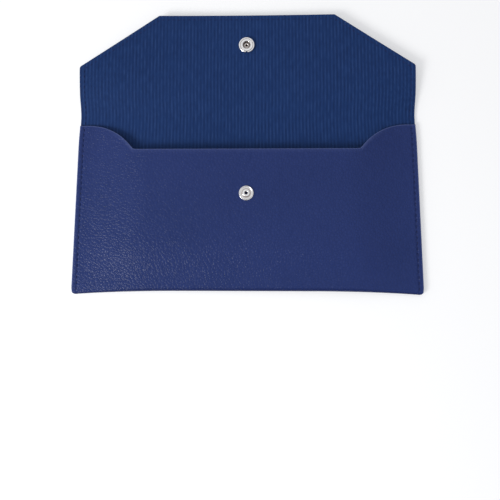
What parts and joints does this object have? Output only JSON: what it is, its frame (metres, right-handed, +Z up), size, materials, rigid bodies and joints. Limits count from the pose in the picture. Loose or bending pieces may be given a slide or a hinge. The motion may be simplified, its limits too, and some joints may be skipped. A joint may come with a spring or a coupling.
{
  "type": "envelope wallet",
  "caption": "Flat leather envelope wallet: a puffed pocket for banknotes under a slant-cornered flap that folds over it and closes with a round press fastener.",
  "frame": {"origin": "centre of the pouch's flat rear face, which lies on the table", "axes": "+X across the wallet from seam to seam, +Y from the bottom fold towards the open flap, +Z up out of the front of the pouch"},
  "size_m": [0.197, 0.1627, 0.0088],
  "materials": {
    "leather": "satin, fine pebble grain",
    "lining": "fine ribbed cloth",
    "thread": "twisted thread",
    "nickel": "bright nickel plate",
    "spring_steel": "drawn wire"
  },
  "bodies": {
    "pouch": {"rear_panel": "leather", "bottom_fold": "leather", "front_panel": "leather", "rear_lining": "lining", "front_lining": "lining", "fold_leather": "leather", "fold_lining": "lining", "left_seam_thread": "thread", "right_seam_thread": "thread", "left_seam_bobbin": "thread", "right_seam_bobbin": "thread", "snap_stud": "nickel", "stud_post": "nickel"},
    "flap": {"flap_panel": "leather", "flap_lining": "lining", "flap_thread": "thread", "flap_bobbin": "thread", "snap_cap": "nickel", "cap_post": "nickel", "snap_socket": "nickel", "socket_spring": "spring_steel"}
  },
  "joints": [
    {"name": "flap_fold", "type": "hinge", "parent": "pouch", "child": "flap", "pos_m": [0, 0.05, 0.0053], "axis": [1, 0, 0], "range_deg": [0, 176.8], "deforming": ["fold_leather", "fold_lining", "socket_spring"]}
  ]
}
